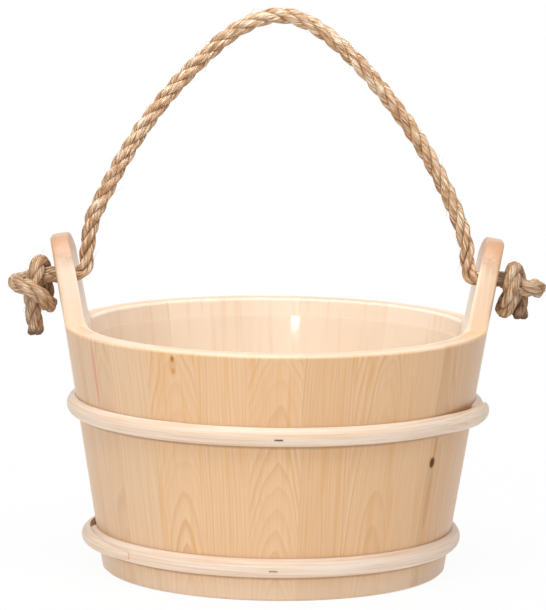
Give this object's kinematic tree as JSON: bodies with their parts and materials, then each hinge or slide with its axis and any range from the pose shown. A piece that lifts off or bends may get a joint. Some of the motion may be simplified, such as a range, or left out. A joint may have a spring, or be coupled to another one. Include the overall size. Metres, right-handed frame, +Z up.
{
  "type": "sauna bucket",
  "caption": "Coopered pine sauna bucket with lapped half-round hoops, a clear plastic liner, tall ears and a knotted sisal rope handle.",
  "frame": {"origin": "Centre of the bucket's foot, on the plane it stands on.", "axes": "+Z is up along the bucket's axis, +X points to the right ear, and the side seen in the picture faces -Y."},
  "size_m": [0.3338, 0.2642, 0.3515],
  "materials": {
    "pine": "satin",
    "hoop_wood": "satin",
    "liner_plastic": "glossy, translucent",
    "staple_steel": "dark",
    "sisal_rope": "coarse, matt"
  },
  "bodies": {
    "bucket": {"stave_01": "pine", "stave_02": "pine", "stave_03": "pine", "stave_04": "pine", "stave_05": "pine", "stave_06": "pine", "stave_07": "pine", "stave_08": "pine", "stave_09": "pine", "stave_10": "pine", "stave_11": "pine", "stave_12": "pine", "stave_13": "pine", "stave_14": "pine", "stave_15": "pine", "stave_16": "pine", "stave_17": "pine", "stave_18": "pine", "stave_19": "pine", "stave_20": "pine", "stave_21": "pine", "stave_22": "pine", "ear_stave_left": "pine", "ear_stave_right": "pine", "bottom_board": "pine", "liner": "liner_plastic", "upper_hoop": "hoop_wood", "lower_hoop": "hoop_wood", "hoop_staples": "staple_steel"},
    "handle": {"rope_handle": "sisal_rope"}
  },
  "joints": [
    {"name": "handle_swing", "type": "hinge", "parent": "bucket", "child": "handle", "pos_m": [0, 0, 0.184], "axis": [1, 0, 0], "range_deg": [-98, 98]}
  ]
}
